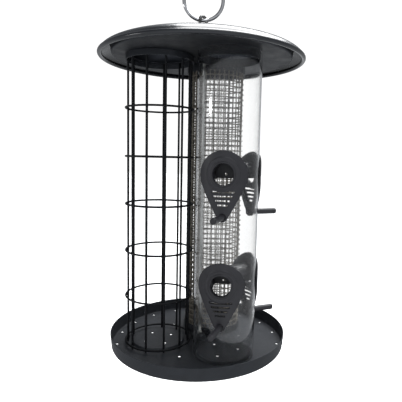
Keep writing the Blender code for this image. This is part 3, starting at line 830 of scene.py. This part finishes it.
def slits():
    """The outlines of the plate's slits, from the widest down."""
    for index, half in enumerate(SLIT_HALF_WIDTHS):
        y = -SLIT_DROP - index * SLIT_PITCH
        low, high = y - SLIT_HEIGHT / 2, y + SLIT_HEIGHT / 2
        yield rounded([(-half, low, SLIT_CORNER), (half, low, SLIT_CORNER),
                       (half, high, SLIT_CORNER), (-half, high, SLIT_CORNER)], 3)


def slit_opening():
    """The liner's one opening behind all the slits."""
    wide, narrow = SLIT_HALF_WIDTHS[0] + SLIT_MARGIN, SLIT_HALF_WIDTHS[-1] + SLIT_MARGIN
    past = SLIT_HEIGHT / 2 + SLIT_MARGIN
    top = past - SLIT_DROP
    bottom = -SLIT_DROP - (len(SLIT_HALF_WIDTHS) - 1) * SLIT_PITCH - past
    return rounded([(-narrow, bottom, OPENING_CORNER), (narrow, bottom, OPENING_CORNER),
                    (wide, top, OPENING_CORNER), (-wide, top, OPENING_CORNER)])


def perch_hole(height):
    """The hole for the leaning perch through a wall at that height above the tube's axis."""
    centre = ((height - PERCH_PIVOT) * math.tan(PERCH_LEAN), -PERCH_DROP)
    return circle(PERCH_RADIUS + GAP, BORE_STEPS, centre)


def unrolled(outline, radius):
    """An outline seen straight on, as it lies on a sheet before that is wrapped to a radius."""
    return [(radius * math.asin(x / radius), y) for x, y in outline]


def solid_outline(name, outlines, near, far, edge=0.0):
    """Closed outlines, holes inside the first, made solid from near to far along Z with rounded edges."""
    curve = bpy.data.curves.new(name, "CURVE")
    curve.dimensions = "2D"
    curve.fill_mode = "BOTH"
    curve.extrude = (far - near) / 2 - edge
    curve.bevel_depth = edge
    curve.bevel_resolution = 2
    curve.offset = -edge
    for points in outlines:
        spline = curve.splines.new("POLY")
        spline.points.add(len(points) - 1)
        for point, (x, y) in zip(spline.points, points):
            point.co = (x, y, 0.0, 1.0)
        spline.use_cyclic_u = True
    source = scratch(name, curve)
    mesh = settled(source)
    bpy.data.objects.remove(source)
    shapes = bmesh.new()
    shapes.from_mesh(mesh)
    bmesh.ops.remove_doubles(shapes, verts=shapes.verts, dist=MERGE)
    bmesh.ops.translate(shapes, verts=shapes.verts, vec=(0, 0, (far + near) / 2))
    return shapes


def bend(shapes, radius, half_width):
    """Cuts flat shapes into upright strips and wraps them round the tube's axis."""
    count = int(half_width * BEND_MARGIN / BEND_STRIP)
    for index in range(-count, count + 1):
        everything = shapes.verts[:] + shapes.edges[:] + shapes.faces[:]
        bmesh.ops.bisect_plane(shapes, geom=everything, dist=FINE_MERGE,
                               plane_co=(index * BEND_STRIP, 0, 0), plane_no=(1, 0, 0))
    for vert in shapes.verts:
        angle = vert.co.x / radius
        out = vert.co.z
        vert.co = (out * math.sin(angle), vert.co.y, out * math.cos(angle))


def ridge(inner, outer, height, base, steps=10):
    """The profile of a soft round ridge on a face at base, sunk a little into it."""
    points = []
    for index in range(steps + 1):
        share = index / steps
        rise = height * math.sin(math.pi * share) ** 2
        points.append((inner + (outer - inner) * share, base + rise))
    return points + [(outer, base - RIDGE_SUNK), (inner, base - RIDGE_SUNK)]


def port_plate(side, level):
    """The plate outside the tube, with a raised rim round its feeding hole and a soft ridge."""
    outer = PLATE_RADIUS + PLATE_THICKNESS
    holes = [circle(HOLE_RADIUS, HOLE_STEPS), perch_hole(PERCH_PIVOT), *slits()]
    outlines = [unrolled(outline, outer) for outline in [teardrop(PLATE_HEAD, PLATE_TIP), *holes]]
    shapes = solid_outline("plate", outlines, PLATE_RADIUS, outer, PLATE_EDGE)
    rim = rounded([(HOLE_RADIUS, outer + HOLE_RIM_RISE, HOLE_RIM_EDGES[0]),
                   (HOLE_RIM - HOLE_RIM_SLOPE, outer + HOLE_RIM_RISE, HOLE_RIM_EDGES[1]),
                   (HOLE_RIM + HOLE_RIM_SUNK, outer - HOLE_RIM_SUNK, 0.0),
                   (HOLE_RADIUS, outer - 3 * HOLE_RIM_SUNK, 0.0)])
    add_turned(shapes, rim, RIM_STEPS)
    add_turned(shapes, ridge(*RIDGE, RIDGE_RISE, outer), RIDGE_STEPS)
    bend(shapes, outer, PLATE_HEAD)
    node = f"port_plate_{side}_{level}"
    show(f"{node}_moulded", to_mesh(node, shapes), PLASTIC, "black_plastic", "feeder", node,
         matrix=port_frame(side, level))


def port_liner(side, level):
    """The liner with its hood over the hole on the inside of the tube."""
    outer = LINER_RADIUS + LINER_THICKNESS
    bore = HOOD_RADIUS - HOOD_WALL
    holes = [circle(bore, HOLE_STEPS), perch_hole(LINER_RADIUS), slit_opening()]
    outlines = [unrolled(outline, outer) for outline in [teardrop(LINER_HEAD, LINER_TIP), *holes]]
    shapes = solid_outline("liner", outlines, LINER_RADIUS, outer, LINER_EDGE)
    bend(shapes, outer, LINER_HEAD)
    sill = math.degrees(math.asin(HOOD_SILL_DROP / HOOD_RADIUS))
    inner_sill = math.degrees(math.asin(HOOD_SILL_DROP / bore))
    near, far = HOOD_REACH
    back = arc(0, 0, HOOD_RADIUS, -sill, 180 + sill, HOOD_STEPS)
    wall = back + arc(0, 0, bore, 180 + inner_sill, -inner_sill, HOOD_STEPS)
    vent = circle(VENT_RADIUS, VENT_STEPS, (0.0, -VENT_DROP))
    for outlines, start, end, edge in (([wall], near + HOOD_OVERLAP, far, HOOD_EDGE),
                                       ([back, vent], near, near + HOOD_WALL, HOOD_BACK_EDGE)):
        part = solid_outline("hood", outlines, start, end, edge)
        mesh = bpy.data.meshes.new("hood")
        part.to_mesh(mesh)
        part.free()
        shapes.from_mesh(mesh)
    node = f"port_liner_{side}_{level}"
    show(f"{node}_moulded", to_mesh(node, shapes), PLASTIC, "black_plastic", "feeder", node,
         matrix=port_frame(side, level))


def perch(side, level):
    """The round peg through plate, tube and liner, leaning to one side."""
    start, end = PERCH_REACH
    profile = rounded([(0.0, start, 0.0), (PERCH_RADIUS, start, PERCH_FOOT_EDGE),
                       (PERCH_RADIUS, end, PERCH_END_EDGE), (0.0, end, 0.0)], 8)
    shapes = bmesh.new()
    add_turned(shapes, profile, PERCH_STEPS, closed=False)
    place = (port_frame(side, level) @ Matrix.Translation((0, -PERCH_DROP, PERCH_PIVOT))
             @ Matrix.Rotation(PERCH_LEAN, 4, "Y"))
    node = f"perch_{side}_{level}"
    show(f"{node}_moulded", to_mesh(node, shapes), PLASTIC, "black_plastic", "feeder", node, matrix=place)


def seed_tube():
    """The clear tube, with a window cut for each port."""
    shapes = bmesh.new()
    inner = SEED_TUBE_RADIUS - SEED_TUBE_WALL
    profile = band(inner, SEED_TUBE_RADIUS, TUBE_FOOT, TUBE_HEAD, SEED_TUBE_EDGE)
    add_turned(shapes, profile, WIDE, SEED_CENTRE)
    tube = scratch("tube", to_mesh("tube", shapes))
    cutters = []
    for side in PORT_ANGLES:
        for level in PORT_HEIGHTS:
            cut = solid_outline("window", [teardrop(WINDOW_HEAD, WINDOW_TIP)], *WINDOW_REACH)
            cutter = scratch("window", to_mesh("window", cut))
            cutter.matrix_world = port_frame(side, level)
            boolean = tube.modifiers.new("window", "BOOLEAN")
            boolean.operation = "DIFFERENCE"
            boolean.solver = "EXACT"
            boolean.object = cutter
            cutters.append(cutter)
    mesh = settled(tube)
    for helper in [tube, *cutters]:
        bpy.data.objects.remove(helper)
    show("seed_tube_clear", mesh, CLEAR, "clear_plastic", "feeder", "seed_tube")


tray()
top_pan()
lid_dome = lid()
rod()
for nut in ("rod_nut_base", "rod_nut_tray", "rod_nut_pan_under", "rod_nut_pan_top"):
    hex_nut(nut)
for flat_washer in ("rod_washer_base", "rod_washer_pan"):
    washer(flat_washer, "feeder")
hanging_gear()
cage()
mesh_tube()
for port_side in PORT_ANGLES:
    for port_level in PORT_HEIGHTS:
        port_plate(port_side, port_level)
        port_liner(port_side, port_level)
        perch(port_side, port_level)
seed_tube()


# Camera, floor and light

CAMERA_PLACE = (0.0, -0.49885, 0.22464)
CAMERA_YAW, CAMERA_PITCH, CAMERA_ROLL = (math.radians(angle) for angle in (3.091, 6.094, 1.333))
CAMERA_SENSOR, CAMERA_LENS, CAMERA_SHIFT = 36.0, 37.56, -0.0539
FLOOR_Z = -0.32
FLOOR_SIZE = 12.0
FLOOR_COLOUR = (0.92, 0.92, 0.92, 1.0)
FLOOR_LAMP = 2.6
FLOOR_LAMP_SPREAD = math.radians(60)

# Brightness of the surroundings, and the ranges of direction over which each part fades in or out
SEEN = 1.1
MIRRORED_TINT = (0.93, 0.96, 1.0, 1.0)
SKY = 1.3
SKY_SIDE = (-0.24, -0.06)
SKY_HEIGHT = (0.42, 0.75)
BACK = 0.45
BACK_SIDE = (-0.10, 0.15)
BACK_DEPTH = (0.86, 0.97)
FRONT = 0.45
FRONT_DEPTH = (-0.9, -0.2)
BASE_LOW, BASE_HIGH = 0.66, 0.18
BASE_HEIGHT = (-0.6, 0.6)

# Lamps: name, place, aim, size and power
GLINT = ("glint", (-1.1, -0.42, 0.41), SEED_CENTRE + Vector((0, 0, 0.30)), (0.24, 0.06), 1.6)
SOFTBOX = ("softbox", (0.45, 0.60, 1.55), (0.45, 0.60, 0.0), (1.35, 1.4), 42.0)
UNDER_LID = ("under_lid", (0.0, 0.0, PAN_Z + 3 * MM), (0.0, 0.0, 1.0), (0.13, 0.13), 0.10)


def camera():
    """The camera, turned by its yaw to the right, its pitch downwards and then its roll."""
    yaw, pitch, roll = CAMERA_YAW, CAMERA_PITCH, CAMERA_ROLL
    ahead = Vector((math.sin(yaw) * math.cos(pitch), math.cos(yaw) * math.cos(pitch), -math.sin(pitch)))
    right = Vector((math.cos(yaw), -math.sin(yaw), 0.0))
    up = right.cross(ahead)
    across = right * math.cos(roll) + up * math.sin(roll)
    upward = up * math.cos(roll) - right * math.sin(roll)
    data = bpy.data.cameras.new("camera")
    data.sensor_width, data.lens, data.shift_x = CAMERA_SENSOR, CAMERA_LENS, CAMERA_SHIFT
    made = bpy.data.objects.new("camera", data)
    bpy.context.scene.collection.objects.link(made)
    turn = Matrix((across, upward, -ahead)).transposed().to_4x4()
    made.matrix_world = Matrix.Translation(CAMERA_PLACE) @ turn
    bpy.context.scene.camera = made


def soft_light(name, place, aim, size, power):
    """A rectangular lamp at place that faces aim."""
    data = bpy.data.lights.new(name, "AREA")
    data.shape = "RECTANGLE"
    data.size, data.size_y = size
    data.energy = power
    made = bpy.data.objects.new(name, data)
    bpy.context.scene.collection.objects.link(made)
    direction = Vector(aim) - Vector(place)
    made.matrix_world = Matrix.Translation(place) @ direction.to_track_quat("-Z", "Y").to_matrix().to_4x4()
    return made


def light_only(lamp, lit):
    """Lets the lamp light that one object and nothing else."""
    group = bpy.data.collections.new(f"lit_by_{lamp.name}")
    group.objects.link(lit)
    lamp.light_linking.receiver_collection = group


def floor():
    """A pale floor far below the hanging feeder, with its own lamp. The feeder doesn't mirror it."""
    shapes = bmesh.new()
    bmesh.ops.create_grid(shapes, x_segments=8, y_segments=8, size=FLOOR_SIZE)
    mesh = bpy.data.meshes.new("floor")
    shapes.to_mesh(mesh)
    shapes.free()
    made = bpy.data.objects.new("floor", mesh)
    bpy.context.scene.collection.objects.link(made)
    made.location = (0, 0, FLOOR_Z)
    made.visible_diffuse = made.visible_glossy = made.visible_transmission = False
    paint = bpy.data.materials.new("floor")
    paint.use_nodes = True
    shader = paint.node_tree.nodes["Principled BSDF"]
    shader.inputs["Base Color"].default_value = FLOOR_COLOUR
    shader.inputs["Roughness"].default_value = 1.0
    shader.inputs["Specular IOR Level"].default_value = 0.0
    mesh.materials.append(paint)
    data = bpy.data.lights.new("floor_lamp", "SUN")
    data.energy = FLOOR_LAMP
    data.angle = FLOOR_LAMP_SPREAD
    lamp = bpy.data.objects.new("floor_lamp", data)
    bpy.context.scene.collection.objects.link(lamp)
    light_only(lamp, made)


def surroundings():
    """White where it is seen directly or straight through the clear tube. What lights the feeder and
    shows in it is bright low down, overhead, behind and in front, and darker between these."""
    world = bpy.data.worlds.new("studio")
    bpy.context.scene.world = world
    world.use_nodes = True
    tree = world.node_tree
    seen = tree.nodes["Background"]
    seen.inputs["Color"].default_value = (1.0, 1.0, 1.0, 1.0)
    seen.inputs["Strength"].default_value = SEEN
    place = tree.nodes.new("ShaderNodeTexCoord")
    axes = tree.nodes.new("ShaderNodeSeparateXYZ")
    tree.links.new(place.outputs["Generated"], axes.inputs["Vector"])

    def product(first, second):
        node = tree.nodes.new("ShaderNodeMath")
        node.operation = "MULTIPLY"
        tree.links.new(first, node.inputs[0])
        tree.links.new(second, node.inputs[1])
        return node.outputs["Value"]

    def total(*values):
        result = values[0]
        for value in values[1:]:
            node = tree.nodes.new("ShaderNodeMath")
            tree.links.new(result, node.inputs[0])
            tree.links.new(value, node.inputs[1])
            result = node.outputs["Value"]
        return result

    x, y, z = (axes.outputs[key] for key in "XYZ")
    overhead = product(ranged(tree, x, 0.0, 1.0, *SKY_SIDE), ranged(tree, z, 0.0, SKY, *SKY_HEIGHT))
    behind = product(ranged(tree, x, 0.0, BACK, *BACK_SIDE), ranged(tree, y, 0.0, 1.0, *BACK_DEPTH))
    front = ranged(tree, y, FRONT, 0.0, *FRONT_DEPTH)
    ground = ranged(tree, z, BASE_LOW, BASE_HIGH, *BASE_HEIGHT)
    mirrored = tree.nodes.new("ShaderNodeBackground")
    mirrored.inputs["Color"].default_value = MIRRORED_TINT
    tree.links.new(total(ground, overhead, behind, front), mirrored.inputs["Strength"])
    path = tree.nodes.new("ShaderNodeLightPath")
    straight = ranged(tree, path.outputs["Glossy Depth"], 1.0, 0.0, 0.0, 1.0)
    through = product(path.outputs["Is Transmission Ray"], straight)
    direct = total(path.outputs["Is Camera Ray"], through)
    mix = tree.nodes.new("ShaderNodeMixShader")
    tree.links.new(direct, mix.inputs["Fac"])
    tree.links.new(mirrored.outputs["Background"], mix.inputs[1])
    tree.links.new(seen.outputs["Background"], mix.inputs[2])
    tree.links.new(mix.outputs["Shader"], tree.nodes["World Output"].inputs["Surface"])
    bpy.context.scene.view_settings.view_transform = "Standard"


camera()
floor()
surroundings()
soft_light(*GLINT)
soft_light(*SOFTBOX)
under_lid = soft_light(*UNDER_LID)
under_lid.visible_camera = under_lid.visible_glossy = False
light_only(under_lid, lid_dome)
